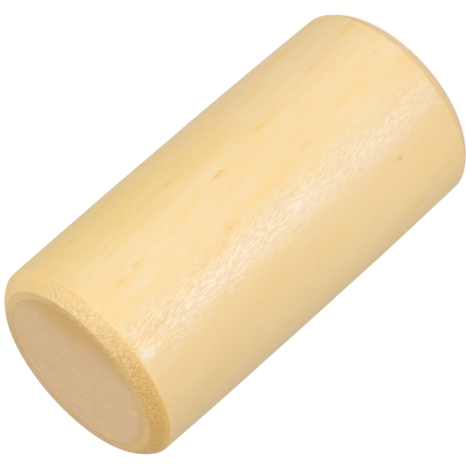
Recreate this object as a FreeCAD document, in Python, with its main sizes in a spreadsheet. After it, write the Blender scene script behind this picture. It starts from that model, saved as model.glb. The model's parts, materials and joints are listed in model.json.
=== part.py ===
import FreeCAD, Part
import os
import Sketcher

# Wooden shaker, millimetres.
# A turned hardwood tube stands on end, +Z along its axis, with the origin at the middle of its foot.
# A thin wooden disc is glued into a seat at each end, and loose metal pellets rattle between the discs.

os.makedirs("parts", exist_ok=True)
doc = FreeCAD.newDocument("shaker")

# Driving sizes
SIZES = [
    ("body_diameter", 50.8, "outside of the turned tube at its middle, two inches"),
    ("body_length", 101.6, "tube from end to end, four inches"),
    ("side_swell", 0.4, "how far the side swells past a straight line between the bevels"),
    ("rim_bevel_width", 3.3, "bevel on each rim, measured across the radius"),
    ("rim_bevel_height", 3.2, "the same bevel, measured along the axis"),
    ("rim_bulge", 0.3, "how far the bevel swells past a straight line between its edges"),
    ("rim_land", 2.0, "flat ring left on each end, on which the shaker stands"),
    ("mouth_break", 0.15, "edge broken round the mouth of each seat"),
    ("seat_shelf", 2.2, "shelf inside each seat, which stops the disc"),
    ("disc_thickness", 5.0, "end disc"),
    ("disc_recess", 0.3, "outer face of the disc below the end of the tube"),
    ("disc_face_bevel", 0.2, "outer edge of the disc, sanded off"),
    ("disc_back_bevel", 0.6, "inner edge of the disc, which leaves room for spare glue"),
    ("glue_gap", 0.08, "between the disc and its seat, all round"),
    ("pellet_diameter", 5.0, "loose pellet"),
    ("pellet_length", 5.0, "loose pellet, along its axis"),
    ("pellet_bevel", 0.3, "edge of a pellet, worn off by tumbling"),
    ("pellet_wall_gap", 1.0, "outermost pellets to the wall of the chamber"),
    ("cut_overrun", 2.0, "how far a cut runs past the wood it cuts"),
]

sheet = doc.addObject("Spreadsheet::Sheet", "sizes")
for row, (alias, value, note) in enumerate(SIZES, start=1):
    sheet.set("A%d" % row, alias)
    sheet.set("B%d" % row, str(value))
    sheet.set("C%d" % row, note)
    sheet.setAlias("B%d" % row, alias)
doc.recompute()

# Sizes that follow from the driving ones, as expressions
SHOULDER_RADIUS = "(sizes.body_diameter / 2 - sizes.side_swell)"
CREST_RADIUS = "(%s - sizes.rim_bevel_width)" % SHOULDER_RADIUS
SEAT_RADIUS = "(%s - sizes.rim_land)" % CREST_RADIUS
BORE_RADIUS = "(%s - sizes.seat_shelf)" % SEAT_RADIUS
SEAT_DEPTH = "(sizes.disc_recess + sizes.disc_thickness)"
DISC_RADIUS = "(%s - sizes.glue_gap)" % SEAT_RADIUS
RIM_CHORD_SQUARED = "(sizes.rim_bevel_width ^ 2 + sizes.rim_bevel_height ^ 2)"
RIM_CURVE = "%s / (8 * sizes.rim_bulge) + sizes.rim_bulge / 2" % RIM_CHORD_SQUARED
SIDE_CHORD_SQUARED = "(sizes.body_length - 2 * sizes.rim_bevel_height) ^ 2"
SIDE_CURVE = "%s / (8 * sizes.side_swell) + sizes.side_swell / 2" % SIDE_CHORD_SQUARED
PELLET_RADIUS = "sizes.pellet_diameter / 2"
OUTER_LANES = "(%s - sizes.pellet_wall_gap - %s)" % (BORE_RADIUS, PELLET_RADIUS)


def value_of(expression):
    """The present value of an expression in millimetres."""
    found = sheet.evalExpression(expression)
    return getattr(found, "Value", found)


def new_body(label):
    """A body that stands for one piece, with its node's name as label."""
    body = doc.addObject("PartDesign::Body", label)
    body.Label = label
    return body


def new_sketch(body, name, role):
    """A sketch on one of the body's own origin planes."""
    plane = next(item for item in body.Origin.OriginFeatures if item.Role == role)
    sketch = body.newObject("Sketcher::SketchObject", name)
    sketch.AttachmentSupport = [(plane, "")]
    sketch.MapMode = "FlatFace"
    return sketch


def outline(sketch, corners, swells=None):
    """A closed outline, counterclockwise. A corner is an across and an up expression; None is zero.

    A side in swells, numbered by its first corner, is an arc, given by how far it stands out and its
    radius.
    """
    swells = swells or {}
    spots = []
    for across, up in corners:
        x = value_of(across) if across else 0
        y = value_of(up) if up else 0
        spots.append(FreeCAD.Vector(x, y, 0))
    count = len(spots)
    for here in range(count):
        first = spots[here]
        last = spots[(here + 1) % count]
        side = Part.LineSegment(first, last)
        if here in swells:
            outward = (last - first).cross(FreeCAD.Vector(0, 0, 1)).normalize()
            top = (first + last) / 2 + outward * value_of(swells[here][0])
            side = Part.Arc(first, top, last)
        sketch.addGeometry(side)
    for here in range(count):
        after = (here + 1) % count
        sketch.addConstraint(Sketcher.Constraint("Coincident", here, 2, after, 1))
    for here, (_, curve) in swells.items():
        index = sketch.addConstraint(Sketcher.Constraint("Radius", here, value_of(curve)))
        sketch.setExpression("Constraints[%d]" % index, curve)
    for here, (across, up) in enumerate(corners):
        for kind, expression, axis in (("DistanceX", across, -2), ("DistanceY", up, -1)):
            if expression is None:
                sketch.addConstraint(Sketcher.Constraint("PointOnObject", here, 1, axis))
                continue
            limit = Sketcher.Constraint(kind, -1, 1, here, 1, value_of(expression))
            index = sketch.addConstraint(limit)
            sketch.setExpression("Constraints[%d]" % index, expression)


def disc_outline(sketch, radius):
    """A circle about the axis, with its radius bound to an expression."""
    middle = FreeCAD.Vector(0, 0, 0)
    upward = FreeCAD.Vector(0, 0, 1)
    sketch.addGeometry(Part.Circle(middle, upward, value_of(radius)))
    sketch.addConstraint(Sketcher.Constraint("Coincident", 0, 3, -1, 1))
    index = sketch.addConstraint(Sketcher.Constraint("Radius", 0, value_of(radius)))
    sketch.setExpression("Constraints[%d]" % index, radius)


def turned(body, kind, name, sketch):
    """A Revolution or a Groove of the sketch about its upright axis."""
    feature = body.newObject(kind, name)
    feature.Profile = sketch
    feature.ReferenceAxis = (sketch, ["V_Axis"])
    feature.Angle = 360
    doc.recompute()
    return feature


def round_edges(feature, places):
    """Names of the feature's circular edges about the axis, found by radius and height."""
    names = []
    for index, edge in enumerate(feature.Shape.Edges, start=1):
        if not isinstance(edge.Curve, Part.Circle):
            continue
        spot = edge.Curve.Center
        for radius, height in places:
            near = abs(edge.Curve.Radius - radius) < Part.Precision.approximation()
            level = abs(spot.z - height) < Part.Precision.approximation()
            if near and level:
                names.append("Edge%d" % index)
    if len(names) != len(places):
        raise RuntimeError("%s: %d edges found for %d places" % (feature.Label, len(names), len(places)))
    return names


def bevelled(body, name, base, places, size):
    """A Chamfer on the edges at the given radii and heights."""
    feature = body.newObject("PartDesign::Chamfer", name)
    feature.Base = (base, round_edges(base, places))
    feature.setExpression("Size", size)
    doc.recompute()
    return feature


def must_cut(before, after):
    """Stops the build when a cut has taken nothing away."""
    if not after.Shape.Volume < before.Shape.Volume:
        raise RuntimeError("%s cuts nothing" % after.Label)


# Turned body
def make_turned_body():
    """The tube: a faintly swelled blank with bevelled rims, bored through and seated at each end."""
    body = new_body("turned_body")
    blank_sketch = new_sketch(body, "blank_outline", "XZ_Plane")
    upper_bevel = "sizes.body_length - sizes.rim_bevel_height"
    rim = ("sizes.rim_bulge", RIM_CURVE)
    side = ("sizes.side_swell", SIDE_CURVE)
    outline(blank_sketch, [
        (None, None),
        (CREST_RADIUS, None),
        (SHOULDER_RADIUS, "sizes.rim_bevel_height"),
        (SHOULDER_RADIUS, upper_bevel),
        (CREST_RADIUS, "sizes.body_length"),
        (None, "sizes.body_length"),
    ], swells={1: rim, 2: side, 3: rim})
    blank = turned(body, "PartDesign::Revolution", "blank", blank_sketch)

    bore_sketch = new_sketch(body, "bore_outline", "XY_Plane")
    disc_outline(bore_sketch, BORE_RADIUS)
    bore = body.newObject("PartDesign::Pocket", "bore")
    bore.Profile = bore_sketch
    bore.Type = "ThroughAll"
    bore.Reversed = True
    doc.recompute()
    must_cut(blank, bore)

    before = bore
    seats = {
        "foot_seat": ("-sizes.cut_overrun", SEAT_DEPTH),
        "head_seat": ("sizes.body_length - %s" % SEAT_DEPTH, "sizes.body_length + sizes.cut_overrun"),
    }
    for name, (low, high) in seats.items():
        seat_sketch = new_sketch(body, name + "_outline", "XZ_Plane")
        inside = "(%s - sizes.cut_overrun)" % BORE_RADIUS
        outline(seat_sketch, [(inside, low), (SEAT_RADIUS, low), (SEAT_RADIUS, high), (inside, high)])
        seat = turned(body, "PartDesign::Groove", name, seat_sketch)
        must_cut(before, seat)
        before = seat

    mouths = [(value_of(SEAT_RADIUS), height) for height in (0, value_of("sizes.body_length"))]
    body.Tip = bevelled(body, "mouth_breaks", before, mouths, "sizes.mouth_break")
    return body


# End discs
def make_end_disc(label, turn, height):
    """A disc sawn from thin board, outer face at its local zero, turned to face out of the tube."""
    body = new_body(label)
    sketch = new_sketch(body, label + "_outline", "XY_Plane")
    disc_outline(sketch, DISC_RADIUS)
    slab = body.newObject("PartDesign::Pad", label + "_slab")
    slab.Profile = sketch
    slab.setExpression("Length", "sizes.disc_thickness")
    doc.recompute()
    radius = value_of(DISC_RADIUS)
    eased = bevelled(body, label + "_face_bevel", slab, [(radius, 0)], "sizes.disc_face_bevel")
    back = [(radius, value_of("sizes.disc_thickness"))]
    body.Tip = bevelled(body, label + "_back_bevel", eased, back, "sizes.disc_back_bevel")
    across = FreeCAD.Vector(1, 0, 0)
    body.Placement = FreeCAD.Placement(FreeCAD.Vector(0, 0, 0), FreeCAD.Rotation(across, turn))
    body.setExpression(".Placement.Base.z", height)
    doc.recompute()
    return body


# Pellets
def make_pellet(label, lane_radius, lane_angle):
    """A short metal pellet with worn edges, standing on the lower disc in its own lane."""
    body = new_body(label)
    sketch = new_sketch(body, label + "_outline", "XY_Plane")
    disc_outline(sketch, PELLET_RADIUS)
    rod = body.newObject("PartDesign::Pad", label + "_rod")
    rod.Profile = sketch
    rod.setExpression("Length", "sizes.pellet_length")
    doc.recompute()
    radius = value_of(PELLET_RADIUS)
    ends = [(radius, 0), (radius, value_of("sizes.pellet_length"))]
    body.Tip = bevelled(body, label + "_worn_edges", rod, ends, "sizes.pellet_bevel")
    if lane_radius:
        body.setExpression(".Placement.Base.x", "%s * cos(%g deg)" % (lane_radius, lane_angle))
        body.setExpression(".Placement.Base.y", "%s * sin(%g deg)" % (lane_radius, lane_angle))
    body.setExpression(".Placement.Base.z", SEAT_DEPTH)
    doc.recompute()
    return body


pieces = [make_turned_body()]
pieces.append(make_end_disc("bottom_end_disc", 0, "sizes.disc_recess"))
pieces.append(make_end_disc("top_end_disc", 180, "sizes.body_length - sizes.disc_recess"))

# One pellet stands in the middle, a ring of six round it, and a ring of twelve near the wall.
# The inner ring's radius is the outer ring's spacing, so all neighbours stand alike far apart.
INNER_COUNT = 6
OUTER_COUNT = 12
half_step = 180 / OUTER_COUNT
INNER_LANES = "(2 * %s * sin(%g deg))" % (OUTER_LANES, half_step)
lanes = [(None, 0)]
lanes += [(INNER_LANES, 360 * step / INNER_COUNT) for step in range(INNER_COUNT)]
lanes += [(OUTER_LANES, 360 * step / OUTER_COUNT + half_step) for step in range(OUTER_COUNT)]
for number, (lane_radius, lane_angle) in enumerate(lanes, start=1):
    pieces.append(make_pellet("pellet_%02d" % number, lane_radius, lane_angle))

doc.recompute()
for item in doc.Objects:
    if "Invalid" in item.State or "Error" in item.State:
        raise RuntimeError("%s failed: %s" % (item.Label, item.State))
for piece in pieces:
    if piece.Shape.isNull() or not piece.Shape.isValid():
        raise RuntimeError("%s has no valid shape" % piece.Label)

chamber = value_of("sizes.body_length - 2 * %s" % SEAT_DEPTH)
travel = chamber - value_of("sizes.pellet_length")
neighbours = value_of(INNER_LANES) - value_of("sizes.pellet_diameter")
print("chamber %.2f long, %.2f across" % (chamber, 2 * value_of(BORE_RADIUS)))
print("pellet travel %.2f, gap between pellets %.2f" % (travel, neighbours))

for piece in pieces:
    piece.Shape.exportStep("parts/%s.step" % piece.Label)
    box = piece.Shape.optimalBoundingBox()
    print("%s  volume %.1f  from %.2f to %.2f" % (piece.Label, piece.Shape.Volume, box.ZMin, box.ZMax))
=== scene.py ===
import json
import math
import bpy
import numpy as np
from mathutils import Matrix, Vector


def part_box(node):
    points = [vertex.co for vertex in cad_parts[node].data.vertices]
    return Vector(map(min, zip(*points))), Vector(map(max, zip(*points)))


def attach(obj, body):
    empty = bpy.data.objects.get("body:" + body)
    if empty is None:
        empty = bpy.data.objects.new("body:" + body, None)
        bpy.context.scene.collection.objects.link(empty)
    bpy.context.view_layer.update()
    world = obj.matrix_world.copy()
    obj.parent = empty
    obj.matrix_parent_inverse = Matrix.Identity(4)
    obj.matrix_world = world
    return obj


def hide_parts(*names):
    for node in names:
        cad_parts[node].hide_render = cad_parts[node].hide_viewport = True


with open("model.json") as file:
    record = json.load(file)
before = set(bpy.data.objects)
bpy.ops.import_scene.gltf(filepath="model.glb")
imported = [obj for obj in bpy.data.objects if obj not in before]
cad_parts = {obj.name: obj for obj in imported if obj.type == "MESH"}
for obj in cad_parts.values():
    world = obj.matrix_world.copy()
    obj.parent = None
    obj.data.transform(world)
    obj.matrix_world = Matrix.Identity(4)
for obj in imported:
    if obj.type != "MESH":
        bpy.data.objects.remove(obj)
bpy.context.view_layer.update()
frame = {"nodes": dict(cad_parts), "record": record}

# Turned body
# A blank of pale, close-grained hardwood, turned to a cylinder, bored right through and seated for a
# disc at each end. The rims are bevelled on the lathe, and the whole outside is sanded and lacquered.
MM = 0.001
head_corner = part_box("turned_body")[1]
mounts = {mount["name"]: mount for mount in frame["record"]["mounts"]}
SIDE_SWELL = 0.4 * MM
SHOULDER_RADIUS = head_corner.x - SIDE_SWELL
TUBE_LENGTH = head_corner.z
BEVEL_HEIGHT = 3.2 * MM
LAND_MIDDLE = mounts["head_rim"]["pos_m"][0]
GLUE_GAP = 0.08 * MM
SEAT_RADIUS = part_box("top_end_disc")[1].x + GLUE_GAP
SEAT_DEPTH = TUBE_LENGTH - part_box("top_end_disc")[0].z
CREST_RADIUS = 2 * LAND_MIDDLE - SEAT_RADIUS
SHELF_WIDTH = 2.2 * MM
CREST_STAND = 0.2 * MM
BEVEL_SWELL = 0.3 * MM
SWELL_CONTROL = 1.53
SWELL_REACH = 0.36
KNOCKS = 46
TUBE_COLUMNS = 360
TUBE_ROW = 0.7 * MM
BORE_ROWS = 5
SAME_PLACE = 0.001 * MM


def eased_outline(corners, easings, steps=7):
    """Points of an outline whose corners are eased by curves.

    Each corner becomes a parabola that leaves one side at the corner's easing distance before it, joins the
    next side at the same distance past it, and has the corner itself as control point.
    """
    corner = np.array(corners, float)
    reach = np.array(easings, float)[:, None]
    back = np.roll(corner, 1, axis=0) - corner
    ahead = np.roll(corner, -1, axis=0) - corner
    start = corner + back / np.linalg.norm(back, axis=1)[:, None] * reach
    stop = corner + ahead / np.linalg.norm(ahead, axis=1)[:, None] * reach
    share = np.linspace(0, 1, steps)[None, :, None]
    curve = (1 - share) ** 2 * start[:, None]
    curve = curve + 2 * share * (1 - share) * corner[:, None]
    curve = curve + share ** 2 * stop[:, None]
    return curve.reshape(-1, 2)


def filled_outline(outline, row, closed):
    """The outline with points added along its length, so that no step is longer than a row.

    Points that lie in the same place are first made one. The new points divide each step evenly.
    """
    path = np.vstack([outline, outline[:1]]) if closed else outline
    step = np.linalg.norm(np.diff(path, axis=0), axis=1)
    path = path[np.append(True, step > SAME_PLACE)]
    step = step[step > SAME_PLACE]
    along = np.append(0, np.cumsum(step))
    marks = [np.linspace(first, last, int(np.ceil((last - first) / row)), endpoint=False)
             for first, last in zip(along[:-1], along[1:])]
    marks = np.concatenate(marks + [along[-1:]])
    if closed:
        marks = marks[:-1]
    return np.stack([np.interp(marks, along, path[:, 0]), np.interp(marks, along, path[:, 1])], axis=1)


def turned_mesh(name, outline, columns, closed, relief=None, centre=(0, 0)):
    """A surface made by turning an outline about an upright axis, as a lathe does.

    The outline runs counterclockwise in the plane of radius and height, with the wood on its left. A point
    is the centre, plus its radius times the cosine and the sine of the column's angle, and its height. An
    outline that isn't closed starts and ends on the axis, with one point for each end. Its UV map runs
    along the outline and round the axis.
    """
    ring = outline if closed else outline[1:-1]
    angle = np.arange(columns) * 2 * np.pi / columns
    radius = np.repeat(ring[:, :1], columns, axis=1)
    height = np.repeat(ring[:, 1:], columns, axis=1)
    if relief:
        radius, height = relief(radius, height, angle[None, :])
    points = np.stack([centre[0] + radius * np.cos(angle), centre[1] + radius * np.sin(angle), height], -1)
    points = points.reshape(-1, 3)
    rows = len(ring)
    row = np.arange(rows if closed else rows - 1)[:, None]
    column = np.arange(columns)[None, :]
    here, above = row * columns, (row + 1) % rows * columns
    beside = (column + 1) % columns
    quads = np.stack([here + column, here + beside, above + beside, above + column], -1).reshape(-1, 4)
    faces = quads.tolist()
    if not closed:
        first, last = len(points), len(points) + 1
        ends = [[*centre, outline[0, 1]], [*centre, outline[-1, 1]]]
        points = np.vstack([points, ends])
        step = np.arange(columns)
        beyond = (step + 1) % columns
        top = (rows - 1) * columns
        faces += np.stack([np.full(columns, first), beyond, step], -1).tolist()
        faces += np.stack([np.full(columns, last), top + step, top + beyond], -1).tolist()
    mesh = bpy.data.meshes.new(name)
    mesh.from_pydata(points.tolist(), [], faces)
    mesh.polygons.foreach_set("use_smooth", np.ones(len(faces), bool))
    corner = np.zeros(len(mesh.loops), int)
    mesh.loops.foreach_get("vertex_index", corner)
    turn = np.append(np.tile(np.arange(columns) / columns, rows), [0, 0])[corner]
    run = np.append(np.repeat((np.arange(rows) + 1) / (rows + 1), columns), [0, 1])[corner]
    wraps = np.zeros(len(corner), bool)
    quad = np.arange(len(quads) * 4).reshape(-1, 4)
    wraps[quad[:, 1:3].ravel()] = np.repeat(quads[:, 1] < quads[:, 0], 2)
    turn = turn + wraps
    chart = mesh.uv_layers.new(name="turned")
    chart.data.foreach_set("uv", np.stack([run, turn], -1).ravel())
    return mesh


def shown(mesh, material, body, slot, *nodes):
    """An object of the mesh in its material, which rides on a body and stands for CAD nodes."""
    piece = bpy.data.objects.new(mesh.name, mesh)
    bpy.context.scene.collection.objects.link(piece)
    mesh.materials.append(material)
    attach(piece, body)
    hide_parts(*nodes)
    return piece


def tube_outline():
    """The tube's outline in radius and height.

    The swelled bevel is one wide easing, whose control point stands out from the middle of the chord by
    about one and a half times the swell, and which reaches over a third of the chord to each side. The
    crest's corner stands out a little, so that its easing keeps the land's width. The side swells by a
    parabola of the height. The bore, which no one sees, keeps one row in five.
    """
    crest_corner = CREST_RADIUS + CREST_STAND
    chord = np.array([SHOULDER_RADIUS - crest_corner, BEVEL_HEIGHT])
    outward = np.array([BEVEL_HEIGHT, chord[0]]) / np.linalg.norm(chord) * SWELL_CONTROL * BEVEL_SWELL
    swell_x = (SHOULDER_RADIUS + crest_corner) / 2 + outward[0]
    swell_z = BEVEL_HEIGHT / 2 - outward[1]
    swell_reach = np.linalg.norm(chord) * SWELL_REACH
    bore = SEAT_RADIUS - SHELF_WIDTH
    edge, crest, mouth, shelf = 0.35 * MM, 0.5 * MM, 0.15 * MM, 0.1 * MM
    half = [
        (crest_corner, 0, crest),
        (swell_x, swell_z, swell_reach),
        (SHOULDER_RADIUS, BEVEL_HEIGHT, edge),
    ]
    inside = [
        (SEAT_RADIUS, 0, mouth),
        (SEAT_RADIUS, SEAT_DEPTH, shelf),
        (bore, SEAT_DEPTH, shelf),
    ]
    upper = [(radius, TUBE_LENGTH - height, easing) for radius, height, easing in reversed(half)]
    head = [(radius, TUBE_LENGTH - height, easing) for radius, height, easing in inside]
    path = np.array(half + upper + head + list(reversed(inside)))
    outline = filled_outline(eased_outline(path[:, :2], path[:, 2]), TUBE_ROW, closed=True)
    middle = TUBE_LENGTH / 2
    share = 1 - ((outline[:, 1] - middle) / (middle - BEVEL_HEIGHT)) ** 2
    outside = outline[:, 0] > SHOULDER_RADIUS - edge
    outline[:, 0] += SIDE_SWELL * np.clip(share, 0, 1) * outside
    bored = outline[:, 0] < bore + SAME_PLACE
    return outline[~bored | (np.arange(len(outline)) % BORE_ROWS == 0)]


def tube_relief(radius, height, angle):
    """What the skew and the sandpaper took off the true cylinder, on the outside only.

    Slow waves: the product of a sine of the angle and a sine of the height, three times over, each at most
    a few hundredths of a millimetre deep. Knocks on the rims: dents a little wider than they are high, each
    a bell curve of the distance along the surface from its centre.
    """
    fade, flattening = 0.5 * MM, 0.7
    outside = np.clip((radius - CREST_RADIUS) / fade, 0, 1)
    depth = 0
    for turns, wave, deep in ((2, 61 * MM, 0.030), (5, 27 * MM, 0.014), (9, 13 * MM, 0.008)):
        swing = np.sin(turns * angle + turns) * np.sin(2 * np.pi * height / wave + turns)
        depth = depth + deep * MM * (1 + swing)
    knocks = np.random.default_rng(11)
    for _ in range(KNOCKS):
        top = knocks.random() < 0.5
        spot_turn = knocks.uniform(0, 2 * np.pi)
        spot_down = knocks.uniform(0.1, 1.1) * BEVEL_HEIGHT
        spot_size = knocks.uniform(0.35, 1.0) * MM
        spot_deep = knocks.uniform(0.02, 0.07) * MM
        down = TUBE_LENGTH - height if top else height
        across = (np.mod(angle - spot_turn + np.pi, 2 * np.pi) - np.pi) * radius
        distance = (across / spot_size) ** 2 + ((down - spot_down) / spot_size / flattening) ** 2
        depth = depth + spot_deep * np.exp(-distance)
    return radius - outside * depth, height


def place(tree, kind, values, **settings):
    """A shader node. A value that is a socket is linked to the input of that name or number."""
    node = tree.nodes.new("ShaderNode" + kind)
    for name, setting in settings.items():
        setattr(node, name, setting)
    for key, value in values.items():
        if isinstance(value, bpy.types.NodeSocket):
            tree.links.new(value, node.inputs[key])
        else:
            node.inputs[key].default_value = value
    return node


def reckon(tree, operation, first, second=0.0, third=0.0):
    """The result of a Math node."""
    return place(tree, "Math", {0: first, 1: second, 2: third}, operation=operation).outputs[0]


def within(tree, value, low, high, floor=0.0, ceiling=1.0):
    """A value eased from floor to ceiling while it goes from low to high."""
    values = {0: value, 1: low, 2: high, 3: floor, 4: ceiling}
    return place(tree, "MapRange", values, interpolation_type="SMOOTHSTEP").outputs[0]


def speckle(tree, vector, scale, detail=2.0, roughness=0.5, distortion=0.0):
    """A noise value between about 0.2 and 0.8, with so many features to the vector's unit."""
    values = {"Vector": vector, "Scale": scale, "Detail": detail, "Roughness": roughness,
              "Distortion": distortion}
    return place(tree, "TexNoise", values).outputs[0]


def stretched(tree, vector, scale):
    """A vector whose parts are scaled each by its own share."""
    return place(tree, "VectorMath", {0: vector, 1: scale}, operation="MULTIPLY").outputs[0]


def streaky(tree, vector, scale, detail=2.0, roughness=0.5, distortion=0.0):
    """A noise value with its own number of features to the unit along each of the vector's parts."""
    return speckle(tree, stretched(tree, vector, scale), 1.0, detail, roughness, distortion)


def tipped(tree, vector, degrees):
    """A vector turned about the origin, by so many degrees about each axis."""
    angles = tuple(math.radians(angle) for angle in degrees)
    return place(tree, "Mapping", {"Vector": vector, "Rotation": angles}).outputs[0]


def tinted(tree, share, under, over, most=1.0):
    """One colour laid over another, by a share that is first scaled so that 1 becomes the most."""
    if most < 1:
        share = reckon(tree, "MULTIPLY", share, most)
    return place(tree, "Mix", {0: share, 6: under, 7: over}, data_type="RGBA").outputs[2]


def from_axis(tree, where):
    """The way out to a point from the upright axis, as a vector, and its length."""
    flat = stretched(tree, where, (1, 1, 0))
    return flat, place(tree, "VectorMath", {0: flat}, operation="LENGTH").outputs["Value"]


def paint(red, green, blue):
    """A colour as linear values, from the 0 to 255 scale of a colour card."""
    card = np.array([red, green, blue]) / 255
    linear = np.where(card <= 0.04045, card / 12.92, ((card + 0.055) / 1.055) ** 2.4)
    return (*linear.tolist(), 1.0)


def new_group(name, inputs, outputs):
    """An empty shader node group with float or vector inputs and float outputs."""
    group = bpy.data.node_groups.new(name, "ShaderNodeTree")
    for label, kind in inputs:
        group.interface.new_socket(label, in_out="INPUT", socket_type=kind)
    for label in outputs:
        group.interface.new_socket(label, in_out="OUTPUT", socket_type="NodeSocketFloat")
    return group, group.nodes.new("NodeGroupInput").outputs, group.nodes.new("NodeGroupOutput").inputs


def make_wood_figure():
    """What the saw shows of a board whose fibres run along the vector's Z, in millimetres.

    Ring: a soft line where the ring count, which wavers a little, passes a whole number, broken into
    patches along its length. Cloud: slow changes of tone. Fibre: fine streaks. Hatch: the short ridges
    that the scraper leaves between fibres. Pore: short open vessels. All are thin across the fibres and
    long along them, so a cut across the fibres shows them as dots.
    """
    group, given, result = new_group(
        "wood figure",
        [("Vector", "NodeSocketVector"), ("Ring Count", "NodeSocketFloat"),
         ("Ring Line", "NodeSocketFloat")],
        ["Ring", "Cloud", "Fibre", "Hatch", "Pore"])
    vector = given["Vector"]
    waver = streaky(group, vector, (0.2, 0.2, 0.09))
    count = reckon(group, "MULTIPLY_ADD", waver, 0.16, given["Ring Count"])
    nearest = reckon(group, "ROUND", count)
    beside = reckon(group, "ABSOLUTE", reckon(group, "SUBTRACT", count, nearest))
    broken = streaky(group, vector, (0.35, 0.35, 0.12), detail=5.0, roughness=0.7)
    patch = within(group, broken, 0.46, 0.64, floor=0.15)
    reach = reckon(group, "MULTIPLY", given["Ring Line"], reckon(group, "ADD", patch, 0.5))
    line = within(group, reckon(group, "DIVIDE", beside, reach), 1.0, 0.0)
    line = reckon(group, "MULTIPLY", line, patch)
    group.links.new(line, result["Ring"])
    cloud = streaky(group, vector, (0.11, 0.11, 0.035), detail=3.0)
    group.links.new(within(group, cloud, 0.3, 0.7), result["Cloud"])
    fibre = streaky(group, vector, (1.7, 1.7, 0.06), detail=3.0, roughness=0.6)
    group.links.new(within(group, fibre, 0.3, 0.7), result["Fibre"])
    hatch = streaky(group, vector, (3.1, 3.1, 0.5), detail=1.0, roughness=0.6)
    group.links.new(within(group, hatch, 0.3, 0.7), result["Hatch"])
    pore = streaky(group, vector, (3.4, 3.4, 0.22), detail=1.0)
    group.links.new(within(group, pore, 0.62, 0.72), result["Pore"])
    return group


wood_figure = make_wood_figure()


def make_handling_marks():
    """What hands and a shelf leave on a finish, in millimetres.

    Smudge: slow patches of duller or brighter finish. Scratch: fine straight hairlines along the vector's
    Z, the peaks of a strongly stretched noise, gathered in a few places.
    """
    group, given, result = new_group(
        "handling marks", [("Vector", "NodeSocketVector")], ["Smudge", "Scratch"])
    vector = given["Vector"]
    smudge = speckle(group, vector, 0.12, detail=3.0, roughness=0.6)
    group.links.new(within(group, smudge, 0.35, 0.65), result["Smudge"])
    hair = streaky(group, vector, (3.2, 3.2, 0.05), detail=0.0)
    gathered = within(group, speckle(group, vector, 0.2, detail=1.0), 0.45, 0.6)
    line = reckon(group, "MULTIPLY", within(group, hair, 0.68, 0.76), gathered)
    group.links.new(line, result["Scratch"])
    return group


handling_marks = make_handling_marks()


def new_material(name):
    """A material, its tree, its empty shader and its own coordinates in millimetres."""
    material = bpy.data.materials.new(name)
    material.use_nodes = True
    tree = material.node_tree
    shader = tree.nodes["Principled BSDF"]
    where = place(tree, "TexCoord", {}).outputs["Object"]
    where = stretched(tree, where, (1 / MM, 1 / MM, 1 / MM))
    return material, tree, shader, where


def grouped(tree, group, values):
    """A placed node group's outputs."""
    return place(tree, "Group", values, node_tree=group).outputs


def finished(tree, shader, colour, rough, relief, strength, depth):
    """Gives a shader its colour, its roughness, and a relief as bumps up to so many metres deep."""
    bump = place(tree, "Bump", {"Strength": strength, "Distance": depth, "Height": relief})
    for socket, name in ((colour, "Base Color"), (rough, "Roughness"), (bump.outputs[0], "Normal")):
        tree.links.new(socket, shader.inputs[name])


FIBRE_TILT = 8.5
RING_LEAN = 0.139
RING_DRAW = 0.00235
RING_CURVE = (0.001833, 0.08589, 0.317)
MOTTLE_FAN = 23


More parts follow.
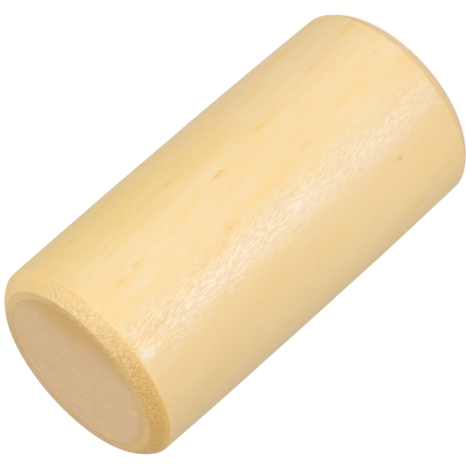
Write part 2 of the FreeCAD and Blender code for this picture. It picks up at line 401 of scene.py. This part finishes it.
def make_pale_wood():
    """Pale hardwood under satin lacquer, golden where the rims cut across its fibres.

    The fibres are tilted from the tube's axis. The rings are nearly flat sheets that lean and draw together
    toward the foot: a sheet's place is the distance toward +X less the lean times the way down, divided by
    1 less the draw times the way down, and the ring count is a second-degree curve of it. The mottle on cut
    ends is a noise of the direction from the axis, times the fan, and of half the sum of the radius and the
    height to the nearer end, so that its spots lie in spokes.

    The side has slow clouds and golden streaks. It is yellower toward +X near the head, and toward -X it is
    darker near the head and lighter near the foot, a painted shade and a painted light. The ridges between
    the fibres are a relief all over, and in the strip where the highlight falls they are also painted light
    and dark, a painted highlight; both fade by half toward the foot, and the gloss grows a little duller
    there. A pale patch by the head's rim is a painted highlight, the foot's bevel is painted paler, a
    painted light, and the rims' golden half is partly painted shade. The flecks are golden with brown grit.
    """
    length = TUBE_LENGTH / MM
    material, tree, shader, where = new_material("lacquered pale hardwood")
    across, away, height = place(tree, "SeparateXYZ", {0: where}).outputs
    down = reckon(tree, "SUBTRACT", length, height)
    along = within(tree, down, 0.0, length)
    foot = within(tree, down, length / 2, length)
    lean = reckon(tree, "MULTIPLY_ADD", down, -RING_LEAN, across)
    draw = reckon(tree, "MULTIPLY_ADD", down, -RING_DRAW, 1.0)
    sheet = reckon(tree, "DIVIDE", lean, draw)
    curve = reckon(tree, "MULTIPLY_ADD", sheet, RING_CURVE[0], RING_CURVE[1])
    count = reckon(tree, "MULTIPLY_ADD", sheet, curve, RING_CURVE[2])
    trunk = tipped(tree, where, (0, FIBRE_TILT, 0))
    figure = grouped(tree, wood_figure, {"Vector": trunk, "Ring Count": count, "Ring Line": 0.11})
    marks = grouped(tree, handling_marks, {"Vector": where})
    seen = {name: place(tree, "Attribute", {}, attribute_name=name).outputs["Fac"]
            for name in ("slope", "golden", "edge", "torn", "fleck", "painted_glint_strip", "painted_glint_patch")}
    flat, radius = from_axis(tree, where)
    direction = place(tree, "VectorMath", {0: flat}, operation="NORMALIZE").outputs[0]
    inward = reckon(tree, "ADD", radius, reckon(tree, "MINIMUM", height, down))
    inward = place(tree, "CombineXYZ", {2: reckon(tree, "MULTIPLY", inward, 0.5)}).outputs[0]
    spread = {0: direction, 1: (MOTTLE_FAN, MOTTLE_FAN, MOTTLE_FAN), 2: inward}
    fan = place(tree, "VectorMath", spread, operation="MULTIPLY_ADD").outputs[0]
    mottle = speckle(tree, fan, 2.2, detail=1.0, roughness=0.6, distortion=0.5)
    mottle = within(tree, mottle, 0.36, 0.64)
    mottle = reckon(tree, "MULTIPLY_ADD", reckon(tree, "SUBTRACT", mottle, 0.5), seen["torn"], 0.5)

    tint = streaky(tree, trunk, (0.4, 0.4, 0.08), detail=1.0, roughness=0.55, distortion=0.3)
    tint = within(tree, tint, 0.33, 0.67)
    crisp = reckon(tree, "MULTIPLY_ADD", along, -0.5, 1.0)
    # Painted highlight: in the strip where the highlight falls, the ridges between the fibres are painted
    # light and dark like its broken glints, fading toward the foot.
    painted_ridge_glint = reckon(tree, "MULTIPLY_ADD", reckon(tree, "SUBTRACT", figure["Hatch"], 0.5), crisp, 0.5)
    painted_ridge_glint = tinted(tree, painted_ridge_glint, paint(228, 194, 136), paint(253, 223, 164))
    tone = tinted(tree, figure["Cloud"], paint(241, 209, 153), paint(241, 214, 163))
    tone = tinted(tree, figure["Fibre"], tone, paint(245, 219, 165), most=0.18)
    streaks = reckon(tree, "MULTIPLY", tint, within(tree, across, -20.0, 0.0, floor=0.4, ceiling=0.65))
    tone = tinted(tree, streaks, tone, paint(244, 206, 135))
    yellowed = within(tree, across, 9.0, 21.0, ceiling=0.5)
    yellowed = reckon(tree, "MULTIPLY", yellowed, within(tree, along, 0.8, 0.2))
    tone = tinted(tree, yellowed, tone, paint(243, 209, 127))
    # Painted shade and light: toward -X the side is darker near the head and lighter near the foot.
    painted_shade_ramp = tinted(tree, along, paint(234, 199, 139), paint(255, 223, 161))
    tone = tinted(tree, within(tree, across, -4.0, -20.0, ceiling=0.4), tone, painted_shade_ramp)
    tone = tinted(tree, seen["painted_glint_strip"], tone, painted_ridge_glint)
    tone = tinted(tree, figure["Ring"], tone, paint(250, 198, 98), most=0.5)

    pale = tinted(tree, mottle, paint(224, 187, 130), paint(244, 214, 165))
    pale = tinted(tree, tint, pale, paint(238, 200, 126), most=0.5)
    pale = tinted(tree, within(tree, across, 14.0, 22.0, ceiling=0.8), pale, paint(235, 198, 124))
    # Painted light: the foot's bevel is paler, against the shade it gets from the floor.
    pale = tinted(tree, foot, pale, paint(252, 224, 182))
    gold = tinted(tree, mottle, paint(189, 139, 50), paint(217, 173, 88))
    pink = tinted(tree, mottle, paint(197, 161, 114), paint(207, 172, 128))
    land = tinted(tree, mottle, paint(202, 159, 80), paint(222, 181, 108))
    land = tinted(tree, within(tree, across, 13.0, 21.0), land, paint(218, 183, 113))
    land = tinted(tree, within(tree, away, 2.0, 16.0), land, pink)

    colour = tinted(tree, within(tree, seen["slope"], 0.3, 0.8), tone, pale)
    # Gold on the rims' golden half: the end grain's own deeper colour, and partly painted shade away from
    # the light.
    sawn = reckon(tree, "MULTIPLY", within(tree, seen["slope"], 0.3, 0.65), seen["golden"])
    colour = tinted(tree, sawn, colour, gold)
    crest = reckon(tree, "MULTIPLY_ADD", seen["golden"], 0.05, 0.93)
    colour = tinted(tree, within(tree, seen["slope"], crest, 0.998), colour, land)
    colour = tinted(tree, seen["edge"], colour, paint(228, 178, 84), most=0.6)
    # Painted highlight: a pale patch by the head's rim, where the long highlight ends.
    colour = tinted(tree, seen["painted_glint_patch"], colour, paint(247, 227, 199))
    grit = within(tree, speckle(tree, where, 1.6, detail=1.0), 0.5, 0.6)
    stain = tinted(tree, grit, paint(248, 190, 78), paint(206, 152, 68))
    colour = tinted(tree, seen["fleck"], colour, stain)

    rough = reckon(tree, "MULTIPLY_ADD", marks["Smudge"], 0.06, 0.27)
    rough = reckon(tree, "MULTIPLY_ADD", seen["slope"], 0.16, rough)
    rough = reckon(tree, "MULTIPLY_ADD", along, 0.03, rough)
    relief = reckon(tree, "MULTIPLY_ADD", figure["Pore"], -0.4, figure["Hatch"])
    relief = reckon(tree, "MULTIPLY_ADD", marks["Scratch"], -0.6, relief)
    relief = reckon(tree, "MULTIPLY", relief, crisp)
    finished(tree, shader, colour, rough, relief, strength=0.9, depth=0.03 * MM)
    shader.inputs["IOR"].default_value = 1.5
    return material


def paint_tube(mesh):
    """Stores, as shares from 0 to 1, what the lathe and the tree did to the tube, and its painted light.

    The turn is the angle in degrees from the viewer's side toward -X. Slope: how squarely the surface cuts
    across the fibres, which is the share of the outline's step that runs along the radius. Golden: the half
    of the head's rim toward -X, and the far half of the foot's, with straight ramps of the turn at its
    ends;
    it is the deeper colour of cut end grain, and partly painted shade on the side away from the light.
    Edge:
    the line where the bevel meets the side, a bell curve of the height from it, strong where the rim is
    golden and once more where the sander caught it. Torn: how rough the cut end grain is, full near the
    viewer's side, and half as much past an eased ramp of the turn. The strip along the viewer's side, a
    bell curve of the turn, is where the highlight falls, and there the ridges between the fibres get a
    painted
    highlight. The patch by the head's rim is a painted highlight, pale where the long highlight ends.
    Fleck:
    short golden specks. Each speck or patch is a bell curve of the distance along the surface from its
    place, given as turn, millimetres below the head, half width, half length and strength.
    """
    length = TUBE_LENGTH / MM
    points = np.zeros(len(mesh.vertices) * 3)
    mesh.vertices.foreach_get("co", points)
    points = points.reshape(-1, TUBE_COLUMNS, 3)
    profile = np.stack([np.linalg.norm(points[:, 0, :2], axis=1), points[:, 0, 2]], -1)
    step = np.roll(profile, -1, axis=0) - np.roll(profile, 1, axis=0)
    slope = np.abs(step[:, :1]) / np.linalg.norm(step, axis=1, keepdims=True)
    turn = np.degrees(np.arctan2(-points[..., 0], -points[..., 1]))
    down = (TUBE_LENGTH - points[..., 2]) / MM
    radius = np.linalg.norm(points[..., :2], axis=-1) / MM
    near_end = np.minimum(down, length - down)
    slope = np.where((radius < CREST_RADIUS / MM - 0.2) & (near_end < 0.2), 1, slope)
    stained_turn = np.where(down < length / 2, turn, np.mod(turn + 80, 360) - 180)
    rise, deep, fall = (np.clip((stained_turn - start) / reach, 0, 1)
                        for start, reach in ((-16, 44), (30, 32), (140, 30)))
    # The golden half: deeper end grain, and partly painted shade on the side away from the light.
    golden = (0.72 * rise + 0.28 * deep) * (1 - fall)
    edge = near_end - BEVEL_HEIGHT / MM + 0.45 + 0.3 * deep
    edge = np.exp(-(edge / (0.4 + 0.15 * deep)) ** 2) * (radius > 23.5)
    edge = edge * (0.1 + 0.9 * golden + 0.35 * np.exp(-((turn + 46) / 16) ** 2))
    torn = np.clip((62 - np.abs(turn + 5)) / 30, 0, 1)
    torn = 0.5 + 0.5 * torn * torn * (3 - 2 * torn)
    fleck, painted_glint_patch = np.zeros_like(turn), np.zeros_like(turn)
    flecks = (
        (-28.0, 45.6, 0.45, 1.4, 0.85), (-33.6, 61.4, 0.4, 1.5, 0.33), (-44.2, 36.7, 0.55, 1.9, 0.4),
        (-19.2, 11.8, 0.35, 1.3, 0.45), (-20.6, 17.7, 0.4, 1.8, 0.4), (-10.4, 65.0, 0.5, 1.9, 0.27),
        (-3.3, 38.3, 0.6, 2.4, 0.35), (7.6, 11.5, 0.9, 5.5, 0.32), (-40.4, 81.3, 0.5, 1.5, 0.25),
        (-23.0, 93.6, 0.3, 0.5, 0.6), (61.0, 39.8, 0.4, 0.8, 0.75), (26.6, 81.1, 0.45, 1.3, 0.6),
        (43.5, 51.2, 0.9, 1.0, 0.15), (16.0, 97.8, 1.6, 0.9, 0.25), (-0.6, 34.2, 0.4, 1.2, 0.4),
        (1.8, 28.0, 0.45, 1.4, 0.35), (1.0, 24.9, 0.35, 0.8, 0.4), (-62.5, 87.2, 0.4, 0.9, 0.3),
    )
    # The painted highlight's patch by the head's rim.
    patches = [(15.8, 5.8, 1.1, 2.0, 0.85)]
    for marked, places in ((fleck, flecks), (painted_glint_patch, patches)):
        for side, low, half_width, half_length, strength in places:
            over = (np.mod(turn - side + 180, 360) - 180) * np.radians(radius)
            bell = np.exp(-(over / half_width) ** 2 - ((down - low) / half_length) ** 2)
            marked += strength * bell * (radius > 22)
    # Painted highlight: the strip where the long highlight falls, a bell curve of the turn.
    painted_glint_strip = np.exp(-((turn - 9) / 10) ** 2)
    slope = np.broadcast_to(slope, turn.shape)
    shares = {"slope": slope, "golden": golden, "edge": edge, "torn": torn, "fleck": fleck,
              "painted_glint_strip": painted_glint_strip, "painted_glint_patch": painted_glint_patch}
    for name, share in shares.items():
        field = mesh.attributes.new(name, "FLOAT", "POINT")
        field.data.foreach_set("value", np.clip(share, 0, 1).ravel())


tube = turned_mesh("turned_tube", tube_outline(), TUBE_COLUMNS, True, tube_relief)
paint_tube(tube)
shown(tube, make_pale_wood(), "shell", "body_wood", "turned_body")

# End discs
# Each end is closed by a round sawn from thin board, browner and closer in grain than the tube. It is
# glued down on the shelf of its seat, a little below the rim, and lacquered with the tube.
DISC_COLUMNS = 240
DISC_ROW = 1.2 * MM
DISC_BACK_EASING = 0.6 * MM
FILLET_RISE = 0.19 * MM
FILLET_REACH = 1.0 * MM
BOARD_TURN = 23
# The side of the seat whose rim casts the painted shade on the disc.
SHADED_SIDE = (0.423, -0.906)


def disc_mesh(name, node, facing):
    """A disc from the frame's box, facing up or down, with its back edge eased.

    Its face ends in a small hollow fillet of glue and lacquer, which climbs the wall of the seat. The glue
    fills the gap to the wall from a little below the face, and the fillet's top dips into the wall.
    """
    low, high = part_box(node)
    back, face = (low.z, high.z) if facing > 0 else (high.z, low.z)
    wall = SEAT_RADIUS - 0.01 * MM
    glue_foot, glue_shelf, glue_top, dip = 0.4 * MM, 0.3 * MM, 0.1 * MM, 0.05 * MM
    corners = [
        (0, back, 0),
        (high.x, back, DISC_BACK_EASING),
        (high.x, face - facing * glue_foot, 0.02 * MM),
        (wall, face - facing * glue_shelf, 0.02 * MM),
        (wall, face + facing * glue_top, 0.01 * MM),
        (wall + dip, face + facing * FILLET_RISE, 0.01 * MM),
        (wall - FILLET_REACH / 2, face, FILLET_REACH / 2),
        (0, face, 0),
    ]
    path = np.array(corners if facing > 0 else corners[::-1])
    outline = filled_outline(eased_outline(path[:, :2], path[:, 2], 5), DISC_ROW, closed=False)
    return turned_mesh(name, outline, DISC_COLUMNS, False)


def make_disc_wood():
    """Brown board with straight fine grain, under a thin, duller coat of the same lacquer.

    The grain is turned in the disc's plane. A golden painted shade, the shadow of the rim on the sunken
    disc, grows with the distance toward one side of the seat, swayed by a noise, and a weaker painted shade
    follows the seat's wall on the side toward the viewer and -X.
    """
    material, tree, shader, where = new_material("lacquered brown board")
    across, away, _ = place(tree, "SeparateXYZ", {0: where}).outputs
    grain = tipped(tree, where, (0, 0, -BOARD_TURN))
    board = tipped(tree, grain, (0, 90, 0))
    count = place(tree, "SeparateXYZ", {0: grain}).outputs[1]
    count = reckon(tree, "MULTIPLY_ADD", count, 0.31, 20.0)
    figure = grouped(tree, wood_figure, {"Vector": board, "Ring Count": count, "Ring Line": 0.2})
    marks = grouped(tree, handling_marks, {"Vector": where})
    # Painted shade: the rim's shadow on the sunken disc, golden, growing toward one side of the seat.
    near = reckon(tree, "MULTIPLY", across, SHADED_SIDE[0])
    near = reckon(tree, "MULTIPLY_ADD", away, SHADED_SIDE[1], near)
    blot = speckle(tree, where, 0.16, detail=3.0, roughness=0.6)
    painted_rim_shade = within(tree, reckon(tree, "MULTIPLY_ADD", blot, 8.0, near), 9.0, 23.0)
    _, radius = from_axis(tree, where)
    below = reckon(tree, "SUBTRACT", near, across)
    # Painted shade: a weaker band along the seat's wall, toward the viewer and -X.
    rim = reckon(tree, "MULTIPLY", within(tree, radius, 17.0, 19.6), within(tree, below, 0.0, 16.0))
    painted_rim_shade = reckon(tree, "MAXIMUM", painted_rim_shade, reckon(tree, "MULTIPLY", rim, 0.65))
    patch = within(tree, speckle(tree, where, 0.11, roughness=0.6), 0.6, 0.72)
    fine = within(tree, streaky(tree, grain, (0.5, 2.2, 2.2), roughness=0.7), 0.38, 0.62)
    fleck = streaky(tree, grain, (0.26, 0.4, 0.4), detail=3.0, roughness=0.6, distortion=0.6)
    fleck = within(tree, fleck, 0.40, 0.60)
    tone = tinted(tree, figure["Cloud"], paint(219, 183, 125), paint(221, 185, 131))
    tone = tinted(tree, figure["Ring"], tone, paint(204, 158, 112), most=0.25)
    tone = tinted(tree, figure["Fibre"], tone, paint(222, 190, 148), most=0.25)
    tone = tinted(tree, fleck, tone, paint(216, 177, 152), most=0.5)
    tone = tinted(tree, fine, tone, paint(0, 0, 0), most=0.1)
    tone = tinted(tree, patch, tone, paint(214, 164, 100), most=0.3)
    # The painted shade's golden colour.
    colour = tinted(tree, painted_rim_shade, tone, paint(206, 163, 87))
    rough = reckon(tree, "MULTIPLY_ADD", marks["Smudge"], 0.1, 0.48)
    finished(tree, shader, colour, rough, figure["Fibre"], strength=0.5, depth=0.02 * MM)
    shader.inputs["IOR"].default_value = 1.5
    shader.inputs["Specular IOR Level"].default_value = 0.3
    return material


disc_wood = make_disc_wood()
shown(disc_mesh("head_disc", "top_end_disc", 1), disc_wood, "shell", "disc_wood", "top_end_disc")
shown(disc_mesh("foot_disc", "bottom_end_disc", -1), disc_wood, "shell", "disc_wood", "bottom_end_disc")

# Loose pellets
# The filling that makes the sound: short bits of steel rod, their edges worn round by tumbling. Each
# rests on the lower disc, and slides up and down the chamber in its own lane.
PELLET_COLUMNS = 28
PELLET_ROW = 0.8 * MM
PELLET_EASING = 0.75 * MM


def make_dull_steel():
    """Tumbled steel: grey, dull and finely pitted."""
    material, tree, shader, where = new_material("tumbled steel")
    marks = grouped(tree, handling_marks, {"Vector": where})
    pits = speckle(tree, where, 2.6, detail=3.0, roughness=0.6)
    colour = tinted(tree, marks["Smudge"], paint(176, 176, 178), paint(196, 195, 192))
    rough = reckon(tree, "MULTIPLY_ADD", pits, 0.25, 0.28)
    finished(tree, shader, colour, rough, pits, strength=0.6, depth=0.03 * MM)
    shader.inputs["Metallic"].default_value = 1.0
    return material


dull_steel = make_dull_steel()
for node in sorted(name for name in frame["nodes"] if name.startswith("pellet_")):
    low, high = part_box(node)
    middle = (low + high) / 2
    width = (high.x - low.x) / 2
    corners = [(0, low.z), (width, low.z), (width, high.z), (0, high.z)]
    worn = eased_outline(corners, [0, PELLET_EASING, PELLET_EASING, 0], 6)
    worn = filled_outline(worn, PELLET_ROW, closed=False)
    mesh = turned_mesh("worn_" + node, worn, PELLET_COLUMNS, False, centre=(middle.x, middle.y))
    shown(mesh, dull_steel, "loose_" + node, "pellet_metal", node)

# Floor
# A plain pale sheet on which the shaker stands. It shows white, and keeps a soft shadow.
FLOOR_REACH = 3.0
FLOOR_DROP = 0.05 * MM
FLOOR_TONE = 0.85
FLOOR_WHITE = 1.15
FLOOR_WHITE_SHARE = 0.72


def eye_rays(tree):
    """Two masks: 1 for a mirrored ray, and 1 for any that is direct, mirrored or through glass."""
    ray = place(tree, "LightPath", {}).outputs
    looks = reckon(tree, "MAXIMUM", ray["Is Camera Ray"], ray["Is Glossy Ray"])
    return ray["Is Glossy Ray"], reckon(tree, "MAXIMUM", looks, ray["Is Transmission Ray"])


def make_floor():
    """A flat square, pale to light and white to the eye, less what the shadow takes."""
    corner = np.array([(-1, -1, 0), (1, -1, 0), (1, 1, 0), (-1, 1, 0)]) * FLOOR_REACH
    corner[:, 2] = -FLOOR_DROP
    mesh = bpy.data.meshes.new("floor")
    mesh.from_pydata(corner.tolist(), [], [[0, 1, 2, 3]])
    material = bpy.data.materials.new("pale sheet")
    material.use_nodes = True
    tree = material.node_tree
    tree.nodes.clear()
    matt = place(tree, "BsdfDiffuse", {"Color": (FLOOR_TONE, FLOOR_TONE, FLOOR_TONE, 1)}).outputs[0]
    white = place(tree, "Emission", {"Color": (1, 1, 1, 1), "Strength": FLOOR_WHITE}).outputs[0]
    _, looks = eye_rays(tree)
    share = reckon(tree, "MULTIPLY", looks, FLOOR_WHITE_SHARE)
    mixed = place(tree, "MixShader", {0: share, 1: matt, 2: white}).outputs[0]
    place(tree, "OutputMaterial", {0: mixed})
    mesh.materials.append(material)
    floor = bpy.data.objects.new("floor", mesh)
    bpy.context.scene.collection.objects.link(floor)
    floor.visible_glossy = False
    floor.visible_shadow = False


make_floor()

# Studio light
# An even white room, a large soft lamp in front, and panels from below, whose reflection is the long
# highlight on the lacquer. The floor lets the panels' light through, as a table of clear acrylic does.
ROOM_LEVEL = 0.83
GLOSS_DIMMING = 0.6
MIDDLE = Vector((0, 0, TUBE_LENGTH / 2))


def make_room():
    """A world that is white to the eye and a little less so to light.

    A mirrored ray finds it dimmer below the horizon, by an eased ramp of the ray's height.
    """
    world = bpy.data.worlds.new("room")
    bpy.context.scene.world = world
    world.use_nodes = True
    tree = world.node_tree
    tree.nodes.clear()
    mirrored, looks = eye_rays(tree)
    level = reckon(tree, "MULTIPLY_ADD", looks, 1 - ROOM_LEVEL, ROOM_LEVEL)
    ways = place(tree, "SeparateXYZ", {0: place(tree, "TexCoord", {}).outputs["Generated"]}).outputs
    dim = reckon(tree, "MULTIPLY", within(tree, ways[2], 0.1, -0.1), mirrored)
    level = reckon(tree, "MULTIPLY", level, reckon(tree, "MULTIPLY_ADD", dim, -GLOSS_DIMMING, 1.0))
    sky = place(tree, "Background", {0: (1, 1, 1, 1), 1: level}).outputs[0]
    place(tree, "OutputWorld", {0: sky})
    world.cycles.sampling_method = "NONE"


def make_lamp(name, azimuth, elevation, distance, width, height, radiance, colour=(1, 1, 1),
              gloss_only=False):
    """A flat soft lamp that faces the shaker. Azimuth 0 is the viewer's side, 90 is +X."""
    turn, lift = math.radians(azimuth), math.radians(elevation)
    toward = Vector((math.sin(turn) * math.cos(lift), -math.cos(turn) * math.cos(lift), math.sin(lift)))
    light = bpy.data.lights.new(name, "AREA")
    light.shape = "RECTANGLE"
    light.size, light.size_y = width, height
    light.energy = radiance * math.pi * width * height
    light.color = colour
    lamp = bpy.data.objects.new(name, light)
    bpy.context.scene.collection.objects.link(lamp)
    facing = toward.to_track_quat("Z", "Y").to_matrix().to_4x4()
    lamp.matrix_world = Matrix.Translation(MIDDLE + toward * distance) @ facing
    lamp.visible_camera = False
    lamp.visible_diffuse = not gloss_only


make_room()
make_lamp("key", azimuth=10, elevation=20, distance=1.5, width=1.2, height=1.2, radiance=1.52)
make_lamp("bright panel", azimuth=-22, elevation=-23.6, distance=0.8, width=0.30, height=0.20,
          radiance=12.0, colour=(0.14, 0.48, 1.0), gloss_only=True)
make_lamp("broad panel", azimuth=32, elevation=-24, distance=0.8, width=1.3, height=0.8,
          radiance=1.7, colour=(0.4, 0.66, 1.0), gloss_only=True)
make_lamp("back card", azimuth=155, elevation=-24, distance=0.8, width=0.5, height=0.5,
          radiance=0.16, gloss_only=True)

# Camera
# The photograph's own view: a long lens from the viewer's side, tipped down and rolled well over.
CAMERA_PLACE = (0.00043, -0.69343, 0.36973)
CAMERA_DIP = 24.607
CAMERA_ROLL = -131.257
LENS = 266.46
camera = bpy.data.objects.new("camera", bpy.data.cameras.new("camera"))
bpy.context.scene.collection.objects.link(camera)
camera.data.lens = LENS
dip = Matrix.Rotation(math.radians(90 - CAMERA_DIP), 4, "X")
roll = Matrix.Rotation(math.radians(CAMERA_ROLL), 4, "Z")
camera.matrix_world = Matrix.Translation(CAMERA_PLACE) @ dip @ roll
bpy.context.scene.camera = camera
bpy.context.scene.view_settings.view_transform = "Standard"
